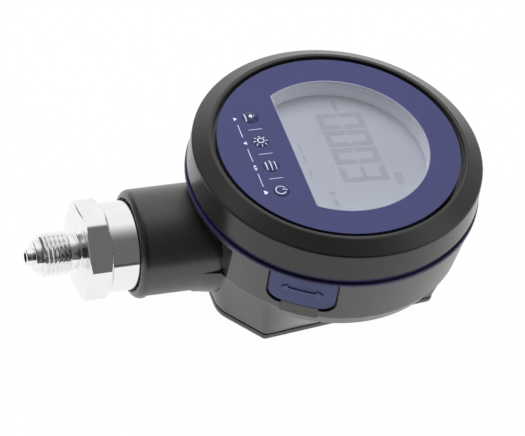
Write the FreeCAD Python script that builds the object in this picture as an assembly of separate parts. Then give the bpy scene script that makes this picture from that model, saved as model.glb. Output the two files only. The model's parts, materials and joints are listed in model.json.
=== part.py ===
"""Digital pressure gauge that lies on its rear face, with its dial facing up.

Units are millimetres. The Z axis is the dial axis, z = 0 is the flat rear face, the connection
points along -Y and the dial's twelve o'clock is towards +Y.
"""
import FreeCAD, Part
import math
import os

V = FreeCAD.Vector

# Round case
CASE_R = 44.3           # largest radius, under the seal ring
CASE_TOP_Z = 38.2       # rim that carries the seal ring
DRUM_TAPER = 2.47       # how much narrower the side is at its lower edge
DRUM_Z = 22.1           # height of that edge, where the hump starts
DRUM_BAND_IN = 2.4      # how far the band under the edge draws in, where the hump leaves it free
DRUM_LOW_Z = 17.2       # bottom of that band
DRUM_LOW_R = 1.0        # rounding of its lower edge
HUMP_INSET = 0.1        # the hump starts this far inside the edge
CASE_WALL = 3.0
FLOOR_T = 2.0           # floor of the case above the battery cover
RIM_H = 1.4             # round rim left above the flat beside the neck
OVERCUT = 1.0           # how far a cut runs past the face that it opens

# Shield-shaped hump and battery cover
COVER_T = 3.3           # the case stands on the cover at this height
COVER_EDGE_R = 1.9      # rounding of the cover's lower edge
SEAM_H = 0.45           # open seam between cover and case
SEAM_DEPTH = 0.9
SHIELD_WIDE_Y = -24.5
SHIELD_WIDE_HALF = 27.15
SHIELD_END_Y = -35.8
SHIELD_END_HALF = 14.05
SHIELD_CORNER_R = 2.0
SHIELD_END_CORNER_R = 9.0   # rounder corners beside the neck
SHIELD_MIN_CORNER_R = 0.5   # smallest rounding of the same outline inside the case
COVER_SIDE = 3.5        # cover outside the gasket, at the sides
COVER_END = 4.7         # and at its far end
COVER_RIB_H = 1.0
COVER_RIB_T = 2.0
COVER_RIB_L = 24.6

# Neck that carries the connection; distances along it count from the dial axis
STEM_Z = 21.0
SHOULDER_TOP = 38.0     # flat that the neck stands on, leaning outwards towards the rim
SHOULDER_LOW = 37.1     # the same flat where the hump starts
ROOT_START = 37.6       # flared root of the neck's lower half
ROOT_END = 43.3
ROOT_FLARE = 0.9
NECK_R = 16.45
NECK_END = 62.2
NECK_EDGE_R = 2.1
NECK_RELIEF = 1.05      # depth of the plain recess round the lower part of the neck
NECK_RELIEF_START = 43.5
NECK_RELIEF_Z = 13.5    # the recess lies below this height
NECK_LIP = 2.6          # full-radius lip left at the end of that recess
NECK_MOUTH_R = 14.2
NECK_MOUTH_T = 1.0
NECK_BORE_GAP = 0.4     # free gap round the steel body
COLLAR_START = 41.0     # inner collar that the swivel runs in
COLLAR_END = 47.0
COLLAR_R = 12.0
SWIVEL_FIT = 0.05       # radial running clearance in the collar
SWIVEL_PLAY = 0.15      # end play of the swivel
CHAMBER_END = 38.2      # inner end of the chamber for the retaining ring
CHAMBER_R = 14.2
PASSAGE_R = 10.0        # opening from the chamber into the case

# Bezel, seal ring and front stack
SEAL_H = 3.2
SEAL_LIP_H = 1.1        # lower part of the seal ring, which stands proud
SEAL_LIP_PROUD = 0.35
SEAL_LIP_EASE = 0.3
SEAL_GROOVE = 0.7       # depth of the upper part behind the case's side
BEZEL_DRAFT = 0.3       # how much narrower the bezel is at the edge of its chamfer
BEZEL_CHAMFER_W = 4.85
BEZEL_EDGE_Z = 50.4     # height of that edge
BEZEL_LIP_Z = 53.3
BEZEL_LIP_T = 1.2       # width of the raised lip
BEZEL_LIP_IN_EASE = 0.4
BEZEL_LIP_OUT_EASE = 0.5
BEZEL_EDGE_EASE = 0.7
BEZEL_LEDGE_W = 2.4     # ledge under the window's edge
BEZEL_LEDGE_T = 2.0
SKIRT_T = 1.6
SKIRT_DEPTH = 2.4
SKIRT_GAP = 0.2
PANEL_Z = 53.0
PANEL_GAP = 1.15        # open gap round the panel
FOIL_T = 0.6
WINDOW_T = 1.6
VIEW_MARGIN = 9.5       # foil round the D-shaped view of the display
VIEW_CHORD = 0.52       # place of the view's straight side, as a share of its radius
VIEW_CORNER_R = 1.2
LCD_DEPTH = 5.8         # display surface below the panel face
LCD_T = 2.0
LCD_MARGIN = 2.2        # display glass outside the view
LCD_CLIP_GAP = 0.8      # from the ledge to the clipped corners of the display stack
BACKLIGHT_T = 3.4
BOARD_T = 1.6
DISPLAY_BOARD_GAP = 1.4

# Keys
KEY_NAMES = ("zero", "light", "menu", "power")
KEY_PITCH = 10.4
KEY_ROW_DROP = 8.9      # from the view's straight side to the middle of the keys
KEY_R = 2.4
KEY_PROUD = 0.55        # height of the key's dome
KEY_FIT = 0.1
KEY_FLANGE_R = 3.5
KEY_FLANGE_T = 1.1
KEY_FLANGE_PLAY = 0.1
KEY_STEM_R = 1.7
SWITCH_W = 6.0
SWITCH_H = 3.4
SWITCH_FLOOR = 0.8
PLUNGER_R = 1.5
PLUNGER_PROUD = 1.0
PLUNGER_FIT = 0.1
PLUNGER_SUNK = 1.4

# Boards and what joins them
MAIN_BOARD_Z = 29.4
MAIN_BOARD_GAP = 2.95
MAIN_BOARD_EDGE_GAP = 0.6   # from the board's straight edge to the wall behind the flat
POST_R = 2.75
POST_IN = 3.0           # from the main board's edge to the middle of a post
POST_ANGLES = (13.6, -44.0)   # mirrored in x
SPACER_R = 2.5
BOARD_SCREW_R = 1.25
BOARD_SCREW_HEAD_R = 2.3
BOARD_SCREW_HEAD_H = 1.5
BOARD_SCREW_BITE = 5.0
CONNECTOR_SIZE = (18.0, 4.0)
CONNECTOR_IN = 11.0     # from the main board's edge

# USB port and its flap
FLAP_ANGLE = -28.6
FLAP_W = 20.3
FLAP_LOW_Z = 26.3
FLAP_T = 1.6
FLAP_CORNER_R = 4.0
FLAP_SIDE_GAP = 0.6
FLAP_LOW_GAP = 1.4
FLAP_BACK_GAP = 0.2
FLAP_TOP_GAP = 0.15
PLUG_W = 9.0
PLUG_H = 4.0
PLUG_T = 0.9
PORT_ROOM = 0.6         # port window round the flap's plug
NOTCH_W = 11.5
NOTCH_DEPTH = 1.2       # at the flap's lower edge
NOTCH_TAIL = 2.1        # how far the notch runs below the side's lower edge
NOTCH_TAIL_DEPTH = 0.35
USB_W = 7.6
USB_H = 2.9
USB_L = 6.0
USB_SHELL_T = 0.35
USB_SETBACK = 0.3       # socket mouth behind the inner face of the case
TONGUE_W = 3.8
TONGUE_T = 0.7
TONGUE_SETBACK = 1.2

# Battery bay
CELL_R = 7.25
CELL_L = 50.5
CELL_GAP = 0.5
CELL_SIDE_GAP = 0.5
CELL_EASE = 0.5
CELL_NUB_R = 2.6
CELL_NUB_H = 1.0
BAY_WALL = 1.6
BAY_TOP_GAP = 0.3
CONTACT_T = 0.4
CONTACT_W = 7.0
CONTACT_BOW = 2.4       # free height of the leaf contact at the flat end of a cell
GASKET_T = 0.8
GASKET_W = 1.4
GASKET_INSET = 0.5
COVER_SCREW_GAP = 0.4   # from the gasket to the far screws
COVER_SCREW_IN = 22.0   # from the cover's far end to the same screws
COVER_SCREW_SIDE = 5.0  # from the cover's widest corner to the near screws
COVER_SCREW_R = 1.0
COVER_SCREW_HEAD_R = 1.75
COVER_SCREW_HEAD_H = 1.4
COVER_SCREW_SUNK = 0.5
COVER_SCREW_BITE = 5.0
COVER_BOSS_R = 2.75
COVER_BOSS_FLOOR = 3.0  # boss above the tip of its screw
DRIVE_L = 2.6           # cross-shaped drive in a screw head
DRIVE_W = 0.55
DRIVE_DEPTH = 0.7

# Steel process connection
BODY_R = 13.5
HEX_AF = 27.0
HEX_START = 70.4
HEX_W = 7.5
HEX_CORNER_R = 15.05    # turned corners of the hexagon
HEX_BEVEL_R = 13.4
HEX_REAR_BEVEL = 1.0
HEX_FRONT_BEVEL = 0.5
HEX_TURN = 46.5         # direction of one flat's normal about the stem, from +X towards +Z
STEM_END = 38.6         # inner end of the steel body
RELIEF_R = 5.4
RELIEF_L = 3.1
THREAD_R = 6.5785       # G 1/4 B major radius
THREAD_L = 8.7
THREAD_BEVEL = 0.9
PILOT_R = 4.75
PILOT_L = 1.9
TIP_R = 2.5
TIP_L = 2.2
PORT_R = 1.5
TURNED_EASE = 0.4       # rounded edges of the turned steel
CELL_BORE_R = 9.5
CELL_BORE_END = 65.0
RING_GROOVE_R = 10.9
RING_T = 1.2
RING_PROUD_R = 13.4
RING_OPENING = 5.4
SWIVEL_SEAL_R = 0.8
SWIVEL_GROOVE_W = 1.8
SWIVEL_GROOVE_D = 1.6
SWIVEL_SEAL_PLACE = 44.0

# Pressure cell and what holds it
CELL_SEAL_IN_R = 5.5
CELL_SEAL_OUT_R = 7.5
CELL_SEAL_T = 1.4
CERAMIC_T = 6.0
CLAMP_IN_R = 5.0
CLAMP_T = 5.0
CLAMP_RIM_IN_R = 7.8
CLAMP_RIM_L = 4.0
SENSOR_BOARD_T = 1.2
CAP_T = 2.0
LEAD_R = 1.0
LEAD_BEND_R = 3.6
LEAD_FREE = 3.0         # straight lead between the end cap and the bend
LEAD_ROOM = 0.6         # clearance of the lead in the end cap

# Sizes and places worked out from the sizes above
SEAL_TOP_Z = CASE_TOP_Z + SEAL_H
DRUM_R = CASE_R - DRUM_TAPER
INNER_FLAT = SHOULDER_LOW - CASE_WALL
BEZEL_EDGE_R = CASE_R - BEZEL_DRAFT
PANEL_R = BEZEL_EDGE_R - BEZEL_CHAMFER_W - BEZEL_LIP_T - PANEL_GAP
BEZEL_LEDGE_R = PANEL_R - BEZEL_LEDGE_W
VIEW_R = PANEL_R - VIEW_MARGIN
VIEW_CHORD_Y = -VIEW_CHORD * VIEW_R
KEY_Y = VIEW_CHORD_Y - KEY_ROW_DROP
WINDOW_TOP_Z = PANEL_Z - FOIL_T
WINDOW_Z = WINDOW_TOP_Z - WINDOW_T
LCD_TOP_Z = PANEL_Z - LCD_DEPTH
LCD_Z = LCD_TOP_Z - LCD_T
BACKLIGHT_Z = LCD_Z - BACKLIGHT_T
DISPLAY_BOARD_Z = BACKLIGHT_Z - BOARD_T
MAIN_BOARD_TOP_Z = MAIN_BOARD_Z + BOARD_T
CELL_Z = COVER_T + COVER_RIB_H + CELL_R
BAY_TOP_Z = CELL_Z + CELL_R + BAY_TOP_GAP
BAY_HALF = 2 * CELL_R + CELL_GAP / 2 + CELL_SIDE_GAP
BAY_L = CELL_L + CONTACT_BOW + 2 * CONTACT_T
BAY_NEAR_Y = LEAD_FREE + LEAD_BEND_R + 2 * LEAD_R + BAY_WALL - STEM_END
BAY_FAR_Y = BAY_NEAR_Y + BAY_L
SHIELD_TOP_Y = BAY_FAR_Y + GASKET_INSET + GASKET_W + COVER_END
SHIELD_TOP_HALF = BAY_HALF + GASKET_INSET + GASKET_W + COVER_SIDE
COVER_SCREWS = (
    (BAY_HALF + GASKET_INSET + GASKET_W + COVER_SCREW_R + COVER_SCREW_GAP, SHIELD_TOP_Y - COVER_SCREW_IN),
    (SHIELD_WIDE_HALF - COVER_SCREW_SIDE, SHIELD_WIDE_Y + COVER_SCREW_SIDE),
)   # mirrored in x
HEX_END = HEX_START + HEX_W
THREAD_START = HEX_END + RELIEF_L
THREAD_END = THREAD_START + THREAD_L
TIP_END = THREAD_END + PILOT_L + TIP_L
SEALING_PLACE = CELL_BORE_END - CELL_SEAL_T
CLAMP_PLACE = SEALING_PLACE - CERAMIC_T
SENSOR_BOARD_PLACE = CLAMP_PLACE - CLAMP_T - CLAMP_RIM_L
KEY_XS = [(i - (len(KEY_NAMES) - 1) / 2) * KEY_PITCH for i in range(len(KEY_NAMES))]


def side_radius(z):
    """Outer radius of the tapered side at height z."""
    return DRUM_R + (CASE_R - DRUM_R) * (z - DRUM_Z) / (CASE_TOP_Z - DRUM_Z)


def mirrored(places):
    """Each place and its mirror image in x."""
    return [(sign * x, y) for x, y in places for sign in (1, -1)]


def outline(corners):
    """Closed wire through corners (point, radius), with tangent arcs at the rounded ones."""
    spans = []
    for i, (point, radius) in enumerate(corners):
        back = (corners[i - 1][0] - point).normalize()
        ahead = (corners[(i + 1) % len(corners)][0] - point).normalize()
        half = back.getAngle(ahead) / 2
        reach = radius / math.tan(half)
        middle = point + (back + ahead).normalize() * (radius / math.sin(half) - radius)
        spans.append((point + back * reach, middle, point + ahead * reach, radius))
    edges = []
    for i, (start, middle, end, radius) in enumerate(spans):
        if radius:
            edges.append(Part.Arc(start, middle, end).toShape())
        following = spans[(i + 1) % len(spans)][0]
        edges.append(Part.makeLine(end, following))
    return Part.Wire(edges)


def prism(wire, depth):
    """Solid made by pushing a flat outline up along +Z."""
    return Part.Face(wire).extrude(V(0, 0, depth))


def turned(corners):
    """Solid of revolution about Z; corners are (radius, height) or (radius, height, rounding)."""
    wire = outline([(V(c[0], 0, c[1]), c[2] if len(c) > 2 else 0) for c in corners])
    return Part.Face(wire).revolve(V(0, 0, 0), V(0, 0, 1), 360)


def ring(outer, inner, low, high):
    """Plain ring or tube about Z."""
    return turned([(inner, low), (outer, low), (outer, high), (inner, high)])


def rod(radius, low, high, x=0, y=0):
    """Round bar parallel to Z."""
    return Part.makeCylinder(radius, high - low, V(x, y, low))


def box(x0, x1, y0, y1, z0, z1):
    """Box between two corners."""
    return Part.makeBox(x1 - x0, y1 - y0, z1 - z0, V(x0, y0, z0))


def on_stem(shape):
    """Turn a shape made along +Z so that it lies along the stem, outwards along -Y."""
    shape.rotate(V(0, 0, 0), V(1, 0, 0), 90)
    shape.translate(V(0, 0, STEM_Z))
    return shape


def at_flap(shape):
    """Turn a shape made round +X so that it faces the way the flap does."""
    shape.rotate(V(0, 0, 0), V(0, 0, 1), FLAP_ANGLE)
    return shape


def save(name, *solids):
    """Write one piece, or a group of like pieces, to its own file."""
    shape = solids[0] if len(solids) == 1 else Part.makeCompound(solids)
    shape.exportStep(f"parts/{name}.step")


def shield_corners(inset):
    """Corners of the shield outline, moved inwards by the inset."""
    points = [
        (SHIELD_TOP_HALF, SHIELD_TOP_Y),
        (-SHIELD_TOP_HALF, SHIELD_TOP_Y),
        (-SHIELD_WIDE_HALF, SHIELD_WIDE_Y),
        (-SHIELD_END_HALF, SHIELD_END_Y),
        (SHIELD_END_HALF, SHIELD_END_Y),
        (SHIELD_WIDE_HALF, SHIELD_WIDE_Y),
    ]
    moved = []
    for i, (x, y) in enumerate(points):
        here = V(x, y, 0)
        before = (here - V(*points[i - 1], 0)).normalize()
        after = (V(*points[(i + 1) % len(points)], 0) - here).normalize()
        inward = V(-before.y - after.y, before.x + after.x, 0).normalize()
        normal = V(-before.y, before.x, 0)
        moved.append(here + inward * (inset / inward.dot(normal)))
    return moved


def shield(inset, z):
    """Shield outline at height z."""
    tight = max(SHIELD_CORNER_R - inset, SHIELD_MIN_CORNER_R)
    wide = max(SHIELD_END_CORNER_R - inset, SHIELD_MIN_CORNER_R)
    radii = [tight, tight, tight, wide, wide, tight]
    return outline([(point + V(0, 0, z), radius) for point, radius in zip(shield_corners(inset), radii)])


def circle_like(wire, radius, z):
    """Circle cut into arcs at the directions of another outline's corners."""
    angles = []
    for edge in wire.OrderedEdges:
        start = edge.firstVertex(True).Point
        angles.append(math.atan2(start.y, start.x))
    arcs = []
    for i, start in enumerate(angles):
        sweep = (angles[(i + 1) % len(angles)] - start) % (2 * math.pi)
        places = [start, start + sweep / 2, start + sweep]
        arcs.append(Part.Arc(*[V(radius * math.cos(a), radius * math.sin(a), z) for a in places]).toShape())
    return Part.Wire(arcs)


def round_to_shield(inset, low, radius):
    """Body that runs from the shield outline up to the round lower edge of the case."""
    low_wire = shield(inset, low)
    return Part.makeLoft([low_wire, circle_like(low_wire, radius, DRUM_Z)], True, True)


def facing_prism(width, low, high, corner, inner, outer):
    """Block that faces the flap, with the two lower corners rounded, between two radii."""
    half = width / 2
    wire = outline([
        (V(inner, -half, high), 0),
        (V(inner, -half, low), corner),
        (V(inner, half, low), corner),
        (V(inner, half, high), 0),
    ])
    return at_flap(Part.Face(wire).extrude(V(outer - inner, 0, 0)))


def side_shell(near, far, low, high):
    """Tapered ring parallel to the case's side, from one depth below the surface to another."""
    return turned([
        (side_radius(low) - far, low),
        (side_radius(low) - near, low),
        (side_radius(high) - near, high),
        (side_radius(high) - far, high),
    ])


def flap_hollow():
    """Recess for the flap, finger notch that runs out below it and port window behind it."""
    notch_low = DRUM_Z - NOTCH_TAIL
    recess = side_shell(-OVERCUT, FLAP_T + FLAP_BACK_GAP, notch_low, CASE_TOP_Z)
    recess = recess.common(facing_prism(
        FLAP_W + 2 * FLAP_SIDE_GAP, FLAP_LOW_Z - FLAP_LOW_GAP, CASE_TOP_Z,
        FLAP_CORNER_R, DRUM_R / 2, CASE_R + OVERCUT))
    notch = turned([
        (side_radius(notch_low) - NOTCH_TAIL_DEPTH, notch_low),
        (CASE_R + OVERCUT, notch_low),
        (CASE_R + OVERCUT, FLAP_LOW_Z),
        (side_radius(FLAP_LOW_Z) - NOTCH_DEPTH, FLAP_LOW_Z),
    ])
    notch = notch.common(facing_prism(NOTCH_W, notch_low, FLAP_LOW_Z, 0, DRUM_R / 2, CASE_R + OVERCUT))
    middle = MAIN_BOARD_TOP_Z + USB_H / 2
    port = at_flap(box(DRUM_R - 2 * CASE_WALL, CASE_R, -PLUG_W / 2 - PORT_ROOM, PLUG_W / 2 + PORT_ROOM,
                       middle - PLUG_H / 2 - PORT_ROOM, middle + PLUG_H / 2 + PORT_ROOM))
    return recess.fuse([notch, port])


def neck():
    """Outside of the neck: a round barrel with a plain recess round its lower part."""
    barrel = on_stem(turned([
        (0, INNER_FLAT),
        (NECK_R, INNER_FLAT),
        (NECK_R, NECK_END, NECK_EDGE_R),
        (0, NECK_END),
    ]))
    sleeve = on_stem(ring(NECK_R + OVERCUT, NECK_R - NECK_RELIEF, NECK_RELIEF_START, NECK_END - NECK_LIP))
    below = box(-2 * NECK_R, 2 * NECK_R, -NECK_END, 0, STEM_Z - 2 * NECK_R, NECK_RELIEF_Z)
    return barrel.cut(sleeve.common(below))


def neck_root():
    """Flare between the hump and the lower half of the neck, with a narrow ledge along its top."""
    flare = on_stem(turned([
        (0, INNER_FLAT),
        (NECK_R + ROOT_FLARE, INNER_FLAT),
        (NECK_R + ROOT_FLARE, ROOT_START),
        (NECK_R, ROOT_END),
        (0, ROOT_END),
    ]))
    return flare.common(box(-2 * NECK_R, 2 * NECK_R, -ROOT_END, 0, COVER_T, DRUM_Z))


def neck_hollow():
    """Bore of the neck, the collar that the swivel runs in, and the chamber behind it."""
    return on_stem(turned([
        (0, BAY_WALL - BAY_NEAR_Y),
        (PASSAGE_R, BAY_WALL - BAY_NEAR_Y),
        (PASSAGE_R, CHAMBER_END),
        (CHAMBER_R, CHAMBER_END),
        (CHAMBER_R, COLLAR_START),
        (COLLAR_R, COLLAR_START),
        (COLLAR_R, COLLAR_END),
        (BODY_R + NECK_BORE_GAP, COLLAR_END),
        (BODY_R + NECK_BORE_GAP, NECK_END - NECK_MOUTH_T),
        (NECK_MOUTH_R, NECK_END - NECK_MOUTH_T),
        (NECK_MOUTH_R, NECK_END + OVERCUT),
        (0, NECK_END + OVERCUT),
    ]))


def beside_neck():
    """Space cut from the round side below its rim, so that a leaning flat is left beside the neck."""
    top = CASE_TOP_Z - RIM_H
    low = DRUM_LOW_Z - OVERCUT
    lean = (SHOULDER_TOP - SHOULDER_LOW) / (top - DRUM_Z)
    low_place = SHOULDER_LOW - lean * (DRUM_Z - low)
    places = [(low_place, low), (SHOULDER_TOP, top), (2 * CASE_R, top), (2 * CASE_R, low), (low_place, low)]
    wire = Part.makePolygon([V(-CASE_R, -along, z) for along, z in places])
    return Part.Face(wire).extrude(V(2 * CASE_R, 0, 0))


def rear_case():
    """Round case, hump and neck as one moulding, hollow, with bay walls, posts and bosses."""
    drum = turned([
        (0, DRUM_LOW_Z),
        (DRUM_R - DRUM_BAND_IN, DRUM_LOW_Z, DRUM_LOW_R),
        (DRUM_R, DRUM_Z),
        (CASE_R, CASE_TOP_Z),
        (0, CASE_TOP_Z),
    ])
    hump = round_to_shield(0, COVER_T, DRUM_R - HUMP_INSET)
    outside = drum.cut(beside_neck()).fuse([hump, neck_root(), neck()]).removeSplitter()
    shape = outside.cut(case_room())
    cuts = [box(-BAY_HALF, BAY_HALF, BAY_NEAR_Y, BAY_FAR_Y, COVER_T - OVERCUT, BAY_TOP_Z)]
    cuts.append(gasket(COVER_T - OVERCUT))
    cuts.append(neck_hollow())
    cuts.append(flap_hollow())
    cuts.append(skirt(SKIRT_GAP))
    for x, y in post_places():
        cuts.append(rod(BOARD_SCREW_R, MAIN_BOARD_Z - BOARD_SCREW_BITE, MAIN_BOARD_Z + OVERCUT, x, y))
    for x, y in mirrored(COVER_SCREWS):
        cuts.append(rod(COVER_SCREW_R, COVER_T - OVERCUT, cover_screw_tip(), x, y))
    return shape.cut(cuts).removeSplitter()


def case_room():
    """Space inside the case, round the battery bay, the board posts and the cover screws' bosses."""
    room = turned([
        (0, DRUM_Z),
        (DRUM_R - CASE_WALL, DRUM_Z),
        (CASE_R - CASE_WALL, CASE_TOP_Z),
        (0, CASE_TOP_Z),
    ])
    room = room.fuse(round_to_shield(CASE_WALL, COVER_T + FLOOR_T, DRUM_R - CASE_WALL))
    kept = [box(-BAY_HALF - BAY_WALL, BAY_HALF + BAY_WALL, BAY_NEAR_Y - BAY_WALL, BAY_FAR_Y + BAY_WALL,
                COVER_T, BAY_TOP_Z + BAY_WALL)]
    kept.append(box(-CASE_R, CASE_R, -2 * CASE_R, -INNER_FLAT, 0, CASE_TOP_Z))
    kept += [rod(POST_R, COVER_T, MAIN_BOARD_Z, x, y) for x, y in post_places()]
    boss_top = cover_screw_tip() + COVER_BOSS_FLOOR
    kept += [rod(COVER_BOSS_R, COVER_T, boss_top, x, y) for x, y in mirrored(COVER_SCREWS)]
    return room.cut(kept[0].fuse(kept[1:]))


def gasket(low):
    """Flat ring round the mouth of the battery bay, in the floor of the case."""
    loops = []
    for reach in (GASKET_INSET + GASKET_W, GASKET_INSET):
        half = BAY_HALF + reach
        corners = [(half, BAY_FAR_Y + reach), (-half, BAY_FAR_Y + reach),
                   (-half, BAY_NEAR_Y - reach), (half, BAY_NEAR_Y - reach)]
        loops.append(prism(outline([(V(x, y, low), reach) for x, y in corners]), COVER_T + GASKET_T - low))
    return loops[0].cut(loops[1])


def cover_screw_tip():
    """Height of the tip of a cover screw."""
    return COVER_SCREW_SUNK + COVER_SCREW_HEAD_H + COVER_SCREW_BITE


def cover_screw(x, y):
    """Pan-head screw with a cross-shaped drive, its head sunk in the cover."""
    head_top = COVER_SCREW_SUNK + COVER_SCREW_HEAD_H
    screw = rod(COVER_SCREW_HEAD_R, COVER_SCREW_SUNK, head_top).fuse(
        rod(COVER_SCREW_R, head_top, cover_screw_tip()))
    arm = DRIVE_L / 2
    slot = DRIVE_W / 2
    depth = COVER_SCREW_SUNK + DRIVE_DEPTH
    screw = screw.cut([box(-arm, arm, -slot, slot, 0, depth), box(-slot, slot, -arm, arm, 0, depth)])
    screw.translate(V(x, y, 0))
    return screw


def battery_cover():
    """Shield-shaped cover with a rounded lower edge, an open seam, sunk screw holes and two ribs."""
    plate = prism(shield(0, 0), COVER_T - SEAM_H)
    low = [edge for edge in plate.Edges if edge.BoundBox.ZMax < COVER_T / 2]
    plate = plate.makeFillet(COVER_EDGE_R, low)
    plate = plate.fuse(prism(shield(SEAM_DEPTH, COVER_T - SEAM_H), SEAM_H))
    ribs = []
    for y in (BAY_NEAR_Y + BAY_L / 4, BAY_FAR_Y - BAY_L / 4):
        ribs.append(box(-COVER_RIB_L / 2, COVER_RIB_L / 2, y - COVER_RIB_T / 2, y + COVER_RIB_T / 2,
                        COVER_T, COVER_T + COVER_RIB_H))
    plate = plate.fuse(ribs)
    head_top = COVER_SCREW_SUNK + COVER_SCREW_HEAD_H
    cuts = []
    for x, y in mirrored(COVER_SCREWS):
        cuts.append(rod(COVER_SCREW_HEAD_R, -OVERCUT, head_top, x, y))
        cuts.append(rod(COVER_SCREW_R, 0, COVER_T + OVERCUT, x, y))
    return plate.cut(cuts).removeSplitter()


def seal_ring():
    """Rubber band between bezel and case, with a rounded lip below and a groove above."""
    inner = CASE_R - CASE_WALL
    lip = CASE_R + SEAL_LIP_PROUD
    lip_top = CASE_TOP_Z + SEAL_LIP_H
    return turned([
        (inner, CASE_TOP_Z),
        (lip, CASE_TOP_Z, SEAL_LIP_EASE),
        (lip, lip_top, SEAL_LIP_EASE),
        (CASE_R - SEAL_GROOVE, lip_top),
        (CASE_R - SEAL_GROOVE, SEAL_TOP_Z),
        (inner, SEAL_TOP_Z),
    ])


def front_bezel():
    """Ring with a raised lip, a broad chamfer, a flared side, a window ledge and a skirt."""
    seat_r = PANEL_R + PANEL_GAP
    inner_r = skirt_radius() - SKIRT_T
    body = turned([
        (seat_r, WINDOW_Z),
        (seat_r, BEZEL_LIP_Z, BEZEL_LIP_IN_EASE),
        (seat_r + BEZEL_LIP_T, BEZEL_LIP_Z, BEZEL_LIP_OUT_EASE),
        (BEZEL_EDGE_R, BEZEL_EDGE_Z, BEZEL_EDGE_EASE),
        (CASE_R, SEAL_TOP_Z),
        (inner_r, SEAL_TOP_Z),
        (inner_r, WINDOW_Z - BEZEL_LEDGE_T),
        (BEZEL_LEDGE_R, WINDOW_Z - BEZEL_LEDGE_T),
        (BEZEL_LEDGE_R, WINDOW_Z),
    ])
    return body.fuse(skirt(0)).removeSplitter()


def skirt_radius():
    """Outer radius of the bezel's skirt, just inside the case's wall."""
    return side_radius(SEAL_TOP_Z - SKIRT_DEPTH) - CASE_WALL - SKIRT_GAP


def skirt(room):
    """Skirt of the bezel that reaches down into the case, or the room for it."""
    outer = skirt_radius()
    return ring(outer + room, outer - SKIRT_T - room, SEAL_TOP_Z - SKIRT_DEPTH - room, SEAL_TOP_Z)


def view_outline(reach, z):
    """D-shaped outline of the view, moved outwards by the reach."""
    radius = VIEW_R + reach
    chord = VIEW_CHORD_Y - reach
    middle_y = chord + VIEW_CORNER_R
    middle_x = math.sqrt((radius - VIEW_CORNER_R) ** 2 - middle_y ** 2)
    centre = V(middle_x, middle_y, z)
    outward = V(middle_x, middle_y, 0).normalize()
    rim = centre + outward * VIEW_CORNER_R
    corner = centre + (outward - V(0, 1, 0)).normalize() * VIEW_CORNER_R
    foot = V(middle_x, chord, z)
    left_rim, left_corner, left_foot = [V(-point.x, point.y, z) for point in (rim, corner, foot)]
    return Part.Wire([
        Part.Arc(rim, V(0, radius, z), left_rim).toShape(),
        Part.Arc(left_rim, left_corner, left_foot).toShape(),
        Part.makeLine(left_foot, foot),
        Part.Arc(foot, corner, rim).toShape(),
    ])


def key_holes(low, high):
    """Four holes that the key caps move in."""
    return [rod(KEY_R + KEY_FIT, low, high, x, KEY_Y) for x in KEY_XS]


def front_foil():
    """Printed blue foil with the view and the key holes cut out."""
    foil = rod(PANEL_R, WINDOW_TOP_Z, PANEL_Z)
    view = prism(view_outline(0, WINDOW_TOP_Z - OVERCUT), FOIL_T + 2 * OVERCUT)
    return foil.cut([view] + key_holes(WINDOW_TOP_Z - OVERCUT, PANEL_Z + OVERCUT))


def display_window():
    """Clear plate that carries the foil."""
    return rod(PANEL_R, WINDOW_Z, WINDOW_TOP_Z).cut(key_holes(WINDOW_Z - OVERCUT, WINDOW_TOP_Z + OVERCUT))


def display_slab(reach, low, high):
    """Slab round the view with its corners clipped to fit inside the bezel."""
    half = VIEW_R + reach
    slab = box(-half, half, VIEW_CHORD_Y - reach, VIEW_R + reach, low, high)
    return slab.common(rod(BEZEL_LEDGE_R - LCD_CLIP_GAP, low, high))


def display_surround():
    """Light wall from the display up to the window."""
    wall = display_slab(LCD_MARGIN, LCD_TOP_Z, WINDOW_Z)
    return wall.cut(prism(view_outline(0, LCD_TOP_Z - OVERCUT), WINDOW_Z - LCD_TOP_Z + 2 * OVERCUT))


def key_cap(x):
    """Key cap with a domed top, a flange under the window and a stem."""
    flange_top = WINDOW_Z - KEY_FLANGE_PLAY
    flange_low = flange_top - KEY_FLANGE_T
    cap = turned([
        (0, plunger_top()),
        (KEY_STEM_R, plunger_top()),
        (KEY_STEM_R, flange_low),
        (KEY_FLANGE_R, flange_low),
        (KEY_FLANGE_R, flange_top),
        (0, flange_top),
    ])
    top = PANEL_Z + KEY_PROUD
    ball_r = (KEY_R ** 2 + KEY_PROUD ** 2) / (2 * KEY_PROUD)
    ball = Part.makeSphere(ball_r, V(0, 0, top - ball_r))
    cap = cap.fuse(rod(KEY_R, flange_top, top).common(ball)).removeSplitter()
    cap.translate(V(x, KEY_Y, 0))
    return cap


def plunger_top():
    """Height of a switch plunger's top, where the key's stem rests."""
    return BACKLIGHT_Z + SWITCH_H + PLUNGER_PROUD


def plunger(x):
    """Plunger of a tactile switch."""
    return rod(PLUNGER_R, BACKLIGHT_Z + SWITCH_H - PLUNGER_SUNK, plunger_top(), x, KEY_Y)


def key_switch(x):
    """Body of a tactile switch with the bore that its plunger moves in."""
    half = SWITCH_W / 2
    body = box(x - half, x + half, KEY_Y - half, KEY_Y + half, BACKLIGHT_Z, BACKLIGHT_Z + SWITCH_H)
    return body.cut(rod(PLUNGER_R + PLUNGER_FIT, BACKLIGHT_Z + SWITCH_FLOOR, plunger_top(), x, KEY_Y))


def main_board_radius():
    """Radius of the lower board, inside the case's wall."""
    return side_radius(MAIN_BOARD_Z) - CASE_WALL - MAIN_BOARD_GAP


def post_places():
    """Places of the posts and long screws that hold both boards."""
    reach = main_board_radius() - POST_IN
    turns = [math.radians(angle) for angle in POST_ANGLES]
    return mirrored([(reach * math.cos(turn), reach * math.sin(turn)) for turn in turns])


def board_holes(low, high):
    """Holes for the long screws through both boards."""
    return [rod(BOARD_SCREW_R, low - OVERCUT, high + OVERCUT, x, y) for x, y in post_places()]


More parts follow.
